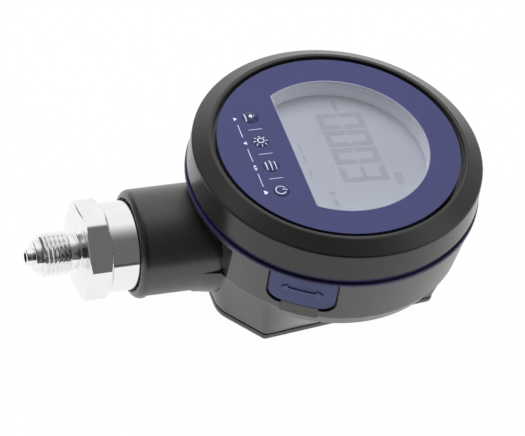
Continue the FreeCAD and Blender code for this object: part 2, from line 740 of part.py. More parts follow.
def display_board():
    """Round board under the display."""
    board = rod(skirt_radius() - SKIRT_T - DISPLAY_BOARD_GAP, DISPLAY_BOARD_Z, BACKLIGHT_Z)
    return board.cut(board_holes(DISPLAY_BOARD_Z, BACKLIGHT_Z))


def main_board():
    """Lower board with a straight edge beside the neck."""
    radius = main_board_radius()
    board = rod(radius, MAIN_BOARD_Z, MAIN_BOARD_TOP_Z)
    board = board.cut(box(-radius, radius, -2 * radius, MAIN_BOARD_EDGE_GAP - INNER_FLAT,
                          MAIN_BOARD_Z - OVERCUT, MAIN_BOARD_TOP_Z + OVERCUT))
    return board.cut(board_holes(MAIN_BOARD_Z, MAIN_BOARD_TOP_Z))


def spacer(x, y):
    """Tube between the two boards."""
    tube = ring(SPACER_R, BOARD_SCREW_R, MAIN_BOARD_TOP_Z, DISPLAY_BOARD_Z)
    tube.translate(V(x, y, 0))
    return tube


def board_screw(x, y):
    """Long screw through both boards into a post of the case."""
    head = rod(BOARD_SCREW_HEAD_R, BACKLIGHT_Z, BACKLIGHT_Z + BOARD_SCREW_HEAD_H)
    screw = head.fuse(rod(BOARD_SCREW_R, MAIN_BOARD_Z - BOARD_SCREW_BITE, BACKLIGHT_Z))
    screw.translate(V(x, y, 0))
    return screw


def board_connector():
    """Header that joins the two boards."""
    length, width = CONNECTOR_SIZE
    y = main_board_radius() - CONNECTOR_IN
    return box(-length / 2, length / 2, y - width / 2, y + width / 2, MAIN_BOARD_TOP_Z, DISPLAY_BOARD_Z)


def usb_socket():
    """Folded metal socket on the main board, open towards the port window, with its tongue."""
    low = MAIN_BOARD_TOP_Z
    mouth = side_radius(low) - CASE_WALL - USB_SETBACK
    shell = box(mouth - USB_L, mouth, -USB_W / 2, USB_W / 2, low, low + USB_H)
    half = USB_W / 2 - USB_SHELL_T
    inner = box(mouth - USB_L + USB_SHELL_T, mouth + OVERCUT, -half, half,
                low + USB_SHELL_T, low + USB_H - USB_SHELL_T)
    tongue = box(mouth - USB_L, mouth - TONGUE_SETBACK, -TONGUE_W / 2, TONGUE_W / 2,
                 low + (USB_H - TONGUE_T) / 2, low + (USB_H + TONGUE_T) / 2)
    return at_flap(shell.cut(inner).fuse(tongue))


def usb_flap():
    """Rubber flap that follows the case's side, with a plug for the port on its back."""
    top = CASE_TOP_Z - FLAP_TOP_GAP
    face = side_shell(0, FLAP_T, FLAP_LOW_Z - OVERCUT, top)
    face = face.common(facing_prism(FLAP_W, FLAP_LOW_Z, top, FLAP_CORNER_R, DRUM_R / 2, CASE_R + OVERCUT))
    middle = MAIN_BOARD_TOP_Z + USB_H / 2
    back = side_radius(middle) - FLAP_T
    plug = at_flap(box(back - PLUG_T, back + FLAP_T / 2, -PLUG_W / 2, PLUG_W / 2,
                       middle - PLUG_H / 2, middle + PLUG_H / 2))
    return face.fuse(plug).removeSplitter()


def cell(x):
    """Round cell with the small nub at its far end."""
    body = turned([
        (0, 0),
        (CELL_R, 0, CELL_EASE),
        (CELL_R, CELL_L - CELL_NUB_H, CELL_EASE),
        (CELL_NUB_R, CELL_L - CELL_NUB_H),
        (CELL_NUB_R, CELL_L),
        (0, CELL_L),
    ])
    body.rotate(V(0, 0, 0), V(1, 0, 0), -90)
    body.translate(V(x, BAY_NEAR_Y + CONTACT_T + CONTACT_BOW, CELL_Z))
    return body


def leaf_contact(x):
    """Bowed leaf between the bay's near wall and the flat end of a cell."""
    half = CONTACT_W / 2
    low = BAY_NEAR_Y
    rise = CONTACT_T + CONTACT_BOW
    points = [(-half, low), (0, low + rise), (half, low)]
    outer = Part.Arc(*[V(x + dx, y, CELL_Z - half) for dx, y in points]).toShape()
    points = [(half - CONTACT_T, low), (0, low + rise - CONTACT_T), (CONTACT_T - half, low)]
    inner = Part.Arc(*[V(x + dx, y, CELL_Z - half) for dx, y in points]).toShape()
    ends = [Part.makeLine(outer.lastVertex().Point, inner.firstVertex().Point),
            Part.makeLine(inner.lastVertex().Point, outer.firstVertex().Point)]
    return prism(Part.Wire([outer, ends[0], inner, ends[1]]), CONTACT_W)


def plate_contact(x):
    """Flat contact at the nub end of a cell."""
    half = CONTACT_W / 2
    return box(x - half, x + half, BAY_FAR_Y - CONTACT_T, BAY_FAR_Y, CELL_Z - half, CELL_Z + half)


def process_connection():
    """Turned steel body with its hexagon, relief, thread blank, pilot and tip, bored for the cell."""
    journal = COLLAR_R - SWIVEL_FIT
    groove_near = SWIVEL_SEAL_PLACE - SWIVEL_GROOVE_W / 2
    groove_far = SWIVEL_SEAL_PLACE + SWIVEL_GROOVE_W / 2
    ring_place = COLLAR_START - SWIVEL_PLAY
    body = turned([
        (CELL_BORE_R, STEM_END),
        (journal, STEM_END, TURNED_EASE),
        (journal, ring_place - RING_T),
        (RING_GROOVE_R, ring_place - RING_T),
        (RING_GROOVE_R, ring_place),
        (journal, ring_place),
        (journal, groove_near),
        (journal - SWIVEL_GROOVE_D, groove_near),
        (journal - SWIVEL_GROOVE_D, groove_far),
        (journal, groove_far),
        (journal, COLLAR_END + SWIVEL_PLAY),
        (BODY_R, COLLAR_END + SWIVEL_PLAY),
        (BODY_R, HEX_START),
        (PORT_R, HEX_START),
        (PORT_R, CELL_BORE_END),
        (CELL_BORE_R, CELL_BORE_END),
    ])
    corner_r = HEX_AF / math.sqrt(3)
    corners = [math.radians(HEX_TURN + 30 + 60 * i) for i in range(6)]
    points = [V(corner_r * math.cos(a), corner_r * math.sin(a), HEX_START) for a in corners]
    hexagon = prism(Part.makePolygon(points + points[:1]), HEX_W)
    hexagon = hexagon.common(turned([
        (PORT_R, HEX_START),
        (HEX_BEVEL_R, HEX_START),
        (HEX_CORNER_R, HEX_START + HEX_REAR_BEVEL),
        (HEX_CORNER_R, HEX_END - HEX_FRONT_BEVEL),
        (HEX_BEVEL_R, HEX_END),
        (PORT_R, HEX_END),
    ]))
    spigot = turned([
        (PORT_R, HEX_END),
        (RELIEF_R, HEX_END),
        (RELIEF_R, THREAD_START, TURNED_EASE),
        (THREAD_R - THREAD_BEVEL, THREAD_START),
        (THREAD_R, THREAD_START + THREAD_BEVEL),
        (THREAD_R, THREAD_END - THREAD_BEVEL),
        (THREAD_R - THREAD_BEVEL, THREAD_END),
        (PILOT_R, THREAD_END),
        (PILOT_R, THREAD_END + PILOT_L, TURNED_EASE),
        (TIP_R, THREAD_END + PILOT_L),
        (TIP_R, TIP_END, TURNED_EASE),
        (PORT_R, TIP_END),
    ])
    return on_stem(body.fuse([hexagon, spigot]).removeSplitter())


def retaining_ring():
    """Snap ring with an open gap, in the groove behind the collar."""
    place = COLLAR_START - SWIVEL_PLAY
    shape = ring(RING_PROUD_R, RING_GROOVE_R, place - RING_T, place)
    gap = RING_OPENING / 2
    return on_stem(shape.cut(box(-gap, gap, 0, 2 * RING_PROUD_R, place - RING_T - OVERCUT, place + OVERCUT)))


def swivel_seal():
    """Rubber ring in the groove of the steel body."""
    middle_r = COLLAR_R - SWIVEL_FIT - SWIVEL_GROOVE_D + SWIVEL_SEAL_R
    return on_stem(Part.makeTorus(middle_r, SWIVEL_SEAL_R, V(0, 0, SWIVEL_SEAL_PLACE), V(0, 0, 1)))


def cell_seal():
    """Flat seal under the pressure cell."""
    return on_stem(ring(CELL_SEAL_OUT_R, CELL_SEAL_IN_R, SEALING_PLACE, CELL_BORE_END))


def pressure_cell():
    """Ceramic measuring cell."""
    return on_stem(rod(CELL_BORE_R, CLAMP_PLACE, SEALING_PLACE))


def cell_clamp():
    """Ring that clamps the cell, with a rim for the sensor board."""
    return on_stem(turned([
        (CLAMP_IN_R, CLAMP_PLACE),
        (CELL_BORE_R, CLAMP_PLACE),
        (CELL_BORE_R, SENSOR_BOARD_PLACE),
        (CLAMP_RIM_IN_R, SENSOR_BOARD_PLACE),
        (CLAMP_RIM_IN_R, SENSOR_BOARD_PLACE + CLAMP_RIM_L),
        (CLAMP_IN_R, SENSOR_BOARD_PLACE + CLAMP_RIM_L),
    ]))


def sensor_board():
    """Small round board on the clamp ring's rim."""
    return on_stem(rod(CELL_BORE_R, SENSOR_BOARD_PLACE - SENSOR_BOARD_T, SENSOR_BOARD_PLACE))


def stem_cap():
    """Plug in the inner end of the steel body, with a hole for the lead."""
    return on_stem(ring(CELL_BORE_R, LEAD_R + LEAD_ROOM, STEM_END, STEM_END + CAP_T))


def sensor_lead():
    """Lead from the sensor board along the stem axis and up to the main board."""
    start = SENSOR_BOARD_PLACE - SENSOR_BOARD_T - SWIVEL_PLAY
    turn_y = BAY_NEAR_Y - BAY_WALL - 2 * LEAD_R
    ends = [V(0, -start, STEM_Z), V(0, turn_y - LEAD_BEND_R, STEM_Z),
            V(0, turn_y, STEM_Z + LEAD_BEND_R), V(0, turn_y, MAIN_BOARD_Z)]
    swing = LEAD_BEND_R * math.sin(math.radians(45))
    middle = V(0, turn_y - LEAD_BEND_R + swing, STEM_Z + LEAD_BEND_R - swing)
    path = Part.Wire([
        Part.makeLine(ends[0], ends[1]),
        Part.Arc(ends[1], middle, ends[2]).toShape(),
        Part.makeLine(ends[2], ends[3]),
    ])
    section = Part.Wire([Part.makeCircle(LEAD_R, ends[0], V(0, 1, 0))])
    return path.makePipeShell([section], True, False)


def build():
    """Make every piece and write it to its own file."""
    save("rear_case", rear_case())
    save("battery_cover", battery_cover())
    save("cover_gasket", gasket(COVER_T))
    save("cover_screws", *[cover_screw(x, y) for x, y in mirrored(COVER_SCREWS)])
    save("seal_ring", seal_ring())
    save("front_bezel", front_bezel())
    save("front_foil", front_foil())
    save("display_window", display_window())
    save("display_surround", display_surround())
    save("lcd_glass", display_slab(LCD_MARGIN, LCD_Z, LCD_TOP_Z))
    save("backlight", display_slab(LCD_MARGIN / 2, BACKLIGHT_Z, LCD_Z))
    save("display_board", display_board())
    for name, x in zip(KEY_NAMES, KEY_XS):
        save(f"key_{name}", key_cap(x))
        save(f"plunger_{name}", plunger(x))
        save(f"switch_{name}", key_switch(x))
    save("main_board", main_board())
    save("board_connector", board_connector())
    save("spacers", *[spacer(x, y) for x, y in post_places()])
    save("board_screws", *[board_screw(x, y) for x, y in post_places()])
    save("usb_socket", usb_socket())
    save("usb_flap", usb_flap())
    for side, x in (("left", -CELL_R - CELL_GAP / 2), ("right", CELL_R + CELL_GAP / 2)):
        save(f"cell_{side}", cell(x))
        save(f"leaf_contact_{side}", leaf_contact(x))
        save(f"plate_contact_{side}", plate_contact(x))
    save("process_connection", process_connection())
    save("retaining_ring", retaining_ring())
    save("swivel_seal", swivel_seal())
    save("cell_seal", cell_seal())
    save("pressure_cell", pressure_cell())
    save("cell_clamp", cell_clamp())
    save("sensor_board", sensor_board())
    save("stem_cap", stem_cap())
    save("sensor_lead", sensor_lead())


os.makedirs("parts", exist_ok=True)
build()
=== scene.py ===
"""Looks of a digital pressure gauge that lies on its rear face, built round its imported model.

The frame is in metres. Sizes below are in millimetres and angles in degrees.
"""

import json
import math

import bmesh
import bpy
from mathutils import Matrix, Vector


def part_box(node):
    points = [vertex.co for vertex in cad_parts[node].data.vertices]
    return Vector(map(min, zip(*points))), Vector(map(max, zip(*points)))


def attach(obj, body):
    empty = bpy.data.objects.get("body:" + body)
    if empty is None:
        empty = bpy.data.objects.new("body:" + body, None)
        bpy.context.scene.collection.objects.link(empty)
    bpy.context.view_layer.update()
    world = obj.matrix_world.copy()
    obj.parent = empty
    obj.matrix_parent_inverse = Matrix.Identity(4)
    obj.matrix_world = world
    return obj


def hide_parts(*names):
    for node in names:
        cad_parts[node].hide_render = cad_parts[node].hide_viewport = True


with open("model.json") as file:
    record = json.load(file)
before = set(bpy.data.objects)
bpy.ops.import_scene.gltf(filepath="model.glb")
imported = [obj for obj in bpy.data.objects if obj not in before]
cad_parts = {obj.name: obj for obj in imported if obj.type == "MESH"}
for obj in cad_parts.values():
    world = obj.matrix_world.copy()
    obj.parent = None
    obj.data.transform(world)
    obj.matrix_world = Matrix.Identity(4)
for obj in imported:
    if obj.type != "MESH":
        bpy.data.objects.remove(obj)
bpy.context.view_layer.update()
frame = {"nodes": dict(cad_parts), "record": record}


def mm(length):
    """Millimetres to metres, for a number or a vector."""
    return length / 1000


def in_mm(length):
    """Metres to millimetres, for a number or a vector."""
    return length * 1000


# Camera of the photograph
CAMERA_AIM = (8.69, -24.17, 34.70)
CAMERA_AZIMUTH = 65.003
CAMERA_ELEVATION = 44.668
CAMERA_ROLL = 10.98
CAMERA_DISTANCE = 1188.0
CAMERA_LENS = 273.48
CAMERA_SENSOR = 36.0

# Studio
# Each dark side: azimuth, elevation, the cosines where it starts and where it is full, and its level
DARK_SIDES = (
    (CAMERA_AZIMUTH, 28.0, 0.1, 0.72, 0.15),
    (CAMERA_AZIMUTH, 28.0, 0.5, 0.9, 0.03),
    (-25.0, 10.0, 0.6, 0.9, 0.15),
    (206.0, 23.0, 0.8, 0.96, 0.4),
)
SOFTBOX_AZIMUTH = 280.0
SOFTBOX_ELEVATION = 62.0
SOFTBOX_DISTANCE = 900.0
SOFTBOX_SIZE = 700.0
SOFTBOX_POWER = 7.0
FLOOR_HALF = 3000.0
FLOOR_GLOW = 0.985         # share of plain white in what the camera and reflections see of the floor
FLOOR_DIM = 0.08           # level of the floor's far parts in reflections
FLOOR_ENDS = (             # azimuth, where the white ends and where the dim part starts
    (CAMERA_AZIMUTH, 150.0, 190.0),
    (0.0, 140.0, 215.0),
)
FLOOR_COLOR = (0.92, 0.92, 0.92, 1)
FLOOR_ROUGHNESS = 0.9

# Values that all materials share
NOISE_LOW = 0.3            # the noise seldom leaves this range
NOISE_HIGH = 0.7
GLOSS_CHANGE = 0.12        # share by which the roughness wanders
BLOTCH_DETAIL = 3.0
GRAIN_DETAIL = 2.0
SOFTEN_SAMPLES = 6

# Turned steel connection; distances run outwards along the stem from the dial axis
STEM_END = 38.6
JOURNAL_R = 11.95
RING_GROOVE = (39.65, 40.85, 10.9)     # start, end, radius
SEAL_GROOVE = (43.1, 44.9, 10.35)
JOURNAL_END = 47.15
BODY_R = 13.5
HEX_START = 70.4
HEX_END = 77.9
HEX_AF = 27.0
HEX_TURN = 46.5            # angle round the stem of the middle of one flat
HEX_CORNER_R = 15.05
HEX_BEVEL_R = 13.4
HEX_REAR_BEVEL = 1.0
HEX_FRONT_BEVEL = 0.5
HEX_EASE = 0.35            # eased edge all round the hexagon's front
RELIEF_R = 5.4
RELIEF_FILLET = 0.7        # hollow corner between the hexagon and the relief
THREAD_START = 81.0
THREAD_END = 89.7
THREAD_R = 6.5785
THREAD_PITCH = 1.337
THREAD_DEPTH = 0.856
THREAD_ROOT = 0.14         # share of the pitch that is flat root
THREAD_FLANKS = 0.72       # share of the pitch that the two flanks take
THREAD_BEVEL = 0.9
PILOT_R = 4.75
PILOT_END = 91.6
TIP_R = 2.5
TIP_END = 93.8
PORT_R = 1.5
CELL_BORE_R = 9.5
CELL_BORE_END = 65.0
TURNED_EASE = 0.4
STEM_SIDES = 180
EASE_STEPS = 5
HEX_REAR_STEP = 0.08       # distance between the rows of the mesh
HEX_FRONT_STEP = 0.05
THREAD_ROWS = 16           # rows of the mesh in one pitch
SHARP_ANGLE = 28.0
JOIN_GAP = 0.001

# Printed signs and display
PRINT_T = 0.02
LINE_STEPS = 10            # steps of the mesh in a straight stroke
ARC_STEPS = 40
DOT_SIDES = 20
KEY_NAMES = ("zero", "light", "menu", "power")
KEY_DOME_R = 2.4
KEY_DOME_H = 0.55
SIGN_LINE = 0.30
ZERO_LINE = 0.22
ZERO_ARROW = (             # height and half width of each stroke
    (-0.6, 0.15), (-0.4, 0.35), (-0.2, 0.55), (0.0, 0.8), (0.2, 0.6), (0.4, 0.3), (1.0, 0.25),
)
ZERO_BASE_Y = -1.65
ZERO_BASE_HALF = 1.6
SUN_R = 0.95
SUN_RAYS = 8
SUN_RAY_START = 1.5
SUN_RAY_END = 2.3
MENU_LINES = ((1.4, 1.7), (0.0, 2.0), (-1.4, 1.7))     # height, half length
POWER_R = 1.55
POWER_Y = -0.1
POWER_ANGLES = (122, 418)
POWER_STROKE = (0.3, 1.95)
ROW_LINE = 0.22
ROW_LINE_HALF = 2.7
ROW_TWO_Y = -27.9
THIN_LINE = 0.17
THIN_LINE_HALF = 2.15
UP_ARROW = ((-0.75, -0.5), (0.75, -0.5), (0.0, 0.6))
DOWN_ARROW = ((-0.75, 0.5), (0.0, -0.6), (0.75, 0.5))
SIDE_ARROW = ((0.25, -0.55), (1.25, 0.0), (0.25, 0.55))
HOME_SIGN = ((-0.7, -0.5), (0.7, -0.5), (0.7, 0.15), (0.0, 0.75), (-0.7, 0.15))
VIEW_R = 27.3
VIEW_CHORD_Y = -14.2
VIEW_CORNER_R = 1.2
VIEW_CORNER_STEPS = 6
VIEW_ROUND_STEPS = 90
VIEW_RIM_W = 0.3           # pale cut edge of the foil round the view
LINING_PROUD = 0.03        # how far the view's lining stands inside the foil's opening
DIGIT_W = 6.8
DIGIT_H = 14.2
DIGIT_LINE = 1.9           # thickness of a figure's outer bars
DIGIT_MIDDLE = 1.2         # thickness of its middle bar and of the minus
DIGIT_SLANT = 0.07
DIGIT_PITCH = 7.45
DIGITS = "0003"
FIRST_DIGIT = (-15.2, 6.45)
SEGMENTS = {"0": "abcdef", "3": "abcdg"}   # letters of the segments that show
MINUS_START = -8.8         # ends of the minus, from the middle of the first figure
MINUS_END = -4.4
POINT_R = 0.45
POINT_DROP = 0.6           # how far the point lies below the figures
POINT_BACK = 0.5           # how far it lies back from the middle between two figures
SMALL_MARKS = ((-7.5, -4.0), (-2.5, 0.0), (3.5, 6.0))
SMALL_MARKS_Y = -9.5
SMALL_MARKS_LINE = 0.7
BATTERY_SIGN = ((8.5, 15.3), (13.1, 15.3), (13.1, 17.7), (8.5, 17.7))
BATTERY_TIP = ((13.1, 16.5), (13.7, 16.5))
BATTERY_TIP_W = 1.2
UNIT_X = 13.4              # left edge of the unit
UNIT_Y = -6.7              # its base line
UNIT_PLACES = (0.9, 3.5, 5.2)          # middles of the first two letters and stem of the last
UNIT_R = 0.85
UNIT_ASCENT = 1.0
UNIT_HOOK_R = 0.8
UNIT_HOOK_ANGLES = (60, 180)
UNIT_LINE = 0.35
FLAP_ANGLE = -28.6
FLAP_SIGN_Z = 33.0
FLAP_SIGN_HALF = 4.9
FLAP_SIGN_LINE = 0.8
FLAP_SIGN_RISE = 0.4
FLAP_SIGN_TIP = ((-0.6, -1.5), (1.4, 0.0), (-0.6, 1.5))
DRUM_R = 41.83             # foot of the tapered side that the flap follows
DRUM_Z = 22.1
CASE_R = 44.3              # top of that side
CASE_TOP_Z = 38.2

# Values read from the frame
MOUNTS = {mount["name"]: mount for mount in frame["record"]["mounts"]}
STEM_Z = in_mm(MOUNTS["process_connection"]["pos_m"][2])
PANEL_Z = in_mm(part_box("front_foil")[1].z)
DISPLAY_Z = in_mm(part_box("lcd_glass")[1].z)


# Number helpers

def cosine(angle):
    """Cosine of an angle in degrees."""
    return math.cos(math.radians(angle))


def sine(angle):
    """Sine of an angle in degrees."""
    return math.sin(math.radians(angle))


def even_numbers(start, end, count):
    """Numbers at even steps from the start to just before the end."""
    return [start + (end - start) * i / count for i in range(count)]


# Material helpers

def new_material(name):
    """Empty node material; returns it with its tree and its shader."""
    made = bpy.data.materials.new(name)
    made.use_nodes = True
    return made, made.node_tree, made.node_tree.nodes["Principled BSDF"]


def noise(tree, size, detail, stretch=(1, 1, 1)):
    """Noise over the object's own coordinates, with features of about this size in millimetres."""
    place = tree.nodes.new("ShaderNodeTexCoord")
    scale = tree.nodes.new("ShaderNodeMapping")
    scale.inputs["Scale"].default_value = stretch
    texture = tree.nodes.new("ShaderNodeTexNoise")
    texture.inputs["Scale"].default_value = 1 / mm(size)
    texture.inputs["Detail"].default_value = detail
    tree.links.new(place.outputs["Object"], scale.inputs["Vector"])
    tree.links.new(scale.outputs["Vector"], texture.inputs["Vector"])
    return texture.outputs["Fac"]


def spread(tree, factor, low, high):
    """A noise value turned into a range of numbers."""
    node = tree.nodes.new("ShaderNodeMapRange")
    node.inputs["From Min"].default_value = NOISE_LOW
    node.inputs["From Max"].default_value = NOISE_HIGH
    node.inputs["To Min"].default_value = low
    node.inputs["To Max"].default_value = high
    tree.links.new(factor, node.inputs["Value"])
    return node.outputs["Result"]


def tint(tree, factor, color, change):
    """A colour that wanders between a darker and a lighter shade of itself."""
    node = tree.nodes.new("ShaderNodeMix")
    node.data_type = "RGBA"
    # A mix node has its two colours at sockets 6 and 7, and the mixed colour at socket 2
    node.inputs[6].default_value = [*[c * (1 - change) for c in color], 1]
    node.inputs[7].default_value = [*[min(c * (1 + change), 1) for c in color], 1]
    tree.links.new(factor, node.inputs[0])
    return node.outputs[2]


def bump(tree, shader, height, depth):
    """Relief of this depth in millimetres from a height between 0 and 1; returns its node."""
    node = tree.nodes.new("ShaderNodeBump")
    node.inputs["Distance"].default_value = mm(depth)
    tree.links.new(height, node.inputs["Height"])
    tree.links.new(node.outputs["Normal"], shader.inputs["Normal"])
    return node


def soften(tree, relief, radius):
    """Round off the edges under a relief, as moulded edges are, by this radius in millimetres."""
    node = tree.nodes.new("ShaderNodeBevel")
    node.samples = SOFTEN_SAMPLES
    node.inputs["Radius"].default_value = mm(radius)
    tree.links.new(node.outputs["Normal"], relief.inputs["Normal"])


def surface(name, color, roughness, grain, depth, change=0.08, blotch=9.0, stretch=(1, 1, 1),
            metallic=0.0, specular=0.5, sheen=0.0, alpha=1.0, ease=0.0):
    """Material with a wandering shade, uneven gloss, a fine grain and softened edges."""
    made, tree, shader = new_material(name)
    shade = spread(tree, noise(tree, blotch, BLOTCH_DETAIL), 0, 1)
    tree.links.new(tint(tree, shade, color, change), shader.inputs["Base Color"])
    fine = noise(tree, grain, GRAIN_DETAIL, stretch)
    gloss = spread(tree, fine, roughness * (1 - GLOSS_CHANGE), roughness * (1 + GLOSS_CHANGE))
    tree.links.new(gloss, shader.inputs["Roughness"])
    relief = bump(tree, shader, fine, depth)
    if ease:
        soften(tree, relief, ease)
    shader.inputs["Metallic"].default_value = metallic
    shader.inputs["Specular IOR Level"].default_value = specular
    shader.inputs["Sheen Weight"].default_value = sheen
    shader.inputs["Alpha"].default_value = alpha
    return made


# Materials of the outside

def case_plastic():
    """Charcoal moulded plastic with an eroded grain."""
    return surface("case_plastic", (0.007, 0.007, 0.006), roughness=0.30, grain=0.32, depth=0.006,
                   specular=1.0, sheen=0.2, ease=0.35)


def bezel_plastic():
    """Black moulded plastic, a little smoother than the case."""
    return surface("bezel_plastic", (0.008, 0.008, 0.007), roughness=0.23, grain=0.28, depth=0.004,
                   specular=0.62, sheen=0.16, ease=0.55)


def seal_rubber():
    """Dark navy rubber."""
    return surface("seal_rubber", (0.022, 0.018, 0.10), roughness=0.40, grain=0.2, depth=0.004,
                   specular=0.8)


def flap_rubber():
    """Steel-blue moulded rubber."""
    return surface("flap_rubber", (0.050, 0.070, 0.225), roughness=0.45, grain=0.22, depth=0.006,
                   ease=0.3)


def flap_mark_painted_highlight():
    """The same rubber, painted lighter where it is raised, as a painted highlight on the raised sign.
    """
    return surface("flap_mark_painted_highlight", (0.085, 0.10, 0.25), roughness=0.40, grain=0.22, depth=0.006)


def panel_foil():
    """Violet-blue printed foil with a satin face."""
    return surface("panel_foil", (0.045, 0.049, 0.150), roughness=0.40, grain=0.16, depth=0.002,
                   change=0.03, blotch=14.0, specular=0.3)


def key_foil():
    """The same foil, embossed over the keys, coloured darker than the panel's foil as painted shade on
    the domes.
    """
    return surface("key_foil", (0.022, 0.025, 0.100), roughness=0.20, grain=0.16, depth=0.002,
                   change=0.03, specular=0.45)


def white_print():
    """White screen print."""
    return surface("white_print", (0.72, 0.73, 0.95), roughness=0.5, grain=0.12, depth=0.002,
                   change=0.04, blotch=1.0)


def pale_edge():
    """Pale cut edge of the foil."""
    return surface("pale_edge", (0.26, 0.27, 0.36), roughness=0.5, grain=0.12, depth=0.002,
                   change=0.06, blotch=2.0)


def window_clear():
    """Thin clear plate over the display."""
    return surface("window_clear", (0.85, 0.88, 0.95), roughness=0.06, grain=6.0, depth=0.0005,
                   change=0.02, alpha=0.06)


def surround_plastic():
    """Smooth light grey plastic."""
    return surface("surround_plastic", (0.88, 0.89, 0.96), roughness=0.55, grain=0.3, depth=0.004,
                   change=0.04)


def display_face():
    """Grey display face with faint mottling."""
    return surface("display_face", (0.308, 0.329, 0.388), roughness=0.42, grain=0.5, depth=0.001,
                   change=0.03, blotch=18.0, specular=0.3)


def display_ink():
    """Faint segments, a little darker than the face."""
    return surface("display_ink", (0.247, 0.257, 0.297), roughness=0.45, grain=0.5, depth=0.001,
                   change=0.04, blotch=6.0, specular=0.3)


def turned_steel():
    """Bright turned stainless steel with fine rings from the lathe."""
    return surface("turned_steel", (0.88, 0.87, 0.87), roughness=0.07, grain=0.12, depth=0.0010,
                   change=0.03, blotch=5.0, stretch=(0.02, 1, 0.02), metallic=1.0)


# Materials of the inner pieces

def soft_rubber():
    """Black sealing rubber."""
    return surface("soft_rubber", (0.018, 0.018, 0.018), roughness=0.6, grain=0.2, depth=0.004)


def light_plate():
    """White diffusing plastic."""
    return surface("light_plate", (0.72, 0.73, 0.72), roughness=0.5, grain=0.4, depth=0.003,
                   change=0.03)


def circuit_board():
    """Green solder mask over woven glass."""
    return surface("circuit_board", (0.015, 0.13, 0.05), roughness=0.35, grain=0.5, depth=0.01,
                   change=0.2, blotch=3.0)


def switch_plastic():
    """Black switch body."""
    return surface("switch_plastic", (0.02, 0.02, 0.022), roughness=0.45, grain=0.15, depth=0.004)


def plunger_plastic():
    """Cream switch plunger."""
    return surface("plunger_plastic", (0.58, 0.52, 0.38), roughness=0.4, grain=0.15, depth=0.003)


def small_steel():
    """Plated screws, contacts and folded sheet."""
    return surface("small_steel", (0.62, 0.61, 0.58), roughness=0.28, grain=0.2, depth=0.002,
                   metallic=1.0)


def cell_jacket():
    """Plain dark grey jacket of a cell."""
    return surface("cell_jacket", (0.09, 0.1, 0.12), roughness=0.25, grain=0.4, depth=0.002,
                   change=0.15, metallic=0.4)


def ceramic():
    """Ground white ceramic."""
    return surface("ceramic", (0.76, 0.74, 0.68), roughness=0.55, grain=0.1, depth=0.003,
                   change=0.03)


def clamp_brass():
    """Turned brass."""
    return surface("clamp_brass", (0.66, 0.47, 0.2), roughness=0.28, grain=0.15, depth=0.002,
                   stretch=(0.02, 1, 0.02), metallic=1.0)


def cap_plastic():
    """Black plug in the steel body."""
    return surface("cap_plastic", (0.03, 0.03, 0.03), roughness=0.5, grain=0.25, depth=0.005)


def lead_jacket():
    """Grey lead jacket."""
    return surface("lead_jacket", (0.09, 0.09, 0.09), roughness=0.5, grain=0.25, depth=0.004)


def finish_nodes():
    """Give every piece of the frame the material of its slot; returns the materials by slot."""
    makers = {
        "case_plastic": case_plastic, "bezel_plastic": bezel_plastic, "seal_rubber": seal_rubber,
        "flap_rubber": flap_rubber, "soft_rubber": soft_rubber, "panel_foil": panel_foil,
        "key_foil": key_foil, "window_clear": window_clear,
        "surround_plastic": surround_plastic, "display": display_face,
        "light_plate": light_plate, "circuit_board": circuit_board, "switch_plastic": switch_plastic,
        "plunger_plastic": plunger_plastic, "small_steel": small_steel, "cell_jacket": cell_jacket,
        "turned_steel": turned_steel, "ceramic": ceramic, "clamp_brass": clamp_brass,
        "cap_plastic": cap_plastic, "lead_jacket": lead_jacket,
    }
    made = {slot: maker() for slot, maker in makers.items()}
    for part in frame["record"]["subparts"]:
        frame["nodes"][part["node"]].material_slots[0].material = made[part["material_slot"]]
    return made


# Mesh helpers

def add_piece(name, mesh, material, body):
    """Put a mesh into the scene as a piece that rides on a body."""
    mesh.materials.append(material)
    piece = bpy.data.objects.new(name, mesh)
    bpy.context.scene.collection.objects.link(piece)
    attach(piece, body)
    return piece


def eased(corners):
    """Outline through (along, across, rounding) corners, with arcs at the rounded ones."""
    points = []
    for i, (along, across, rounding) in enumerate(corners):
        here = Vector((along, across))
        if not rounding:
            points.append(here)
            continue
        back = (Vector(corners[i - 1][:2]) - here).normalized()
        ahead = (Vector(corners[(i + 1) % len(corners)][:2]) - here).normalized()
        half = back.angle(ahead) / 2
        centre = here + (back + ahead).normalized() * (rounding / math.sin(half))
        start = here + back * (rounding / math.tan(half)) - centre
        end = here + ahead * (rounding / math.tan(half)) - centre
        sweep = start.angle_signed(end)
        for step in range(EASE_STEPS + 1):
            points.append(centre + Matrix.Rotation(-sweep * step / EASE_STEPS, 2) @ start)
    return points


# Steel connection

def hex_radius(along, angle):
    """Radius of the bevelled hexagon at a distance along the stem and an angle round it."""
    turn = (angle - math.radians(HEX_TURN)) % math.radians(60)
    flat = HEX_AF / 2 / math.cos(min(turn, math.radians(60) - turn))
    rise = HEX_CORNER_R - HEX_BEVEL_R
    rear = HEX_BEVEL_R + rise * (along - HEX_START) / HEX_REAR_BEVEL
    front = HEX_BEVEL_R + rise * (HEX_END - along) / HEX_FRONT_BEVEL
    return min(flat, HEX_CORNER_R, rear, front) - max(along - HEX_END + HEX_EASE, 0)


def thread_radius(along, angle):
    """Radius of the right-hand pipe thread, cut back by the bevels at both ends."""
    phase = ((along - THREAD_START) / THREAD_PITCH - angle / (2 * math.pi)) % 1
    rise = min(max((abs(2 * phase - 1) - THREAD_ROOT) / THREAD_FLANKS, 0), 1)
    depth = THREAD_DEPTH * (1 - rise)
    low = THREAD_R - THREAD_BEVEL
    return min(THREAD_R - depth, low + along - THREAD_START, low + THREAD_END - along)


def even_rows(start, end, step, radius):
    """Rows at even distances between two places."""
    count = max(round((end - start) / step), 1)
    return [(start + (end - start) * i / count, radius) for i in range(count + 1)]


def plain_rows(corners):
    """Rows of a plain turned outline."""
    return [(point.x, lambda along, angle, r=point.y: r) for point in eased(corners)]


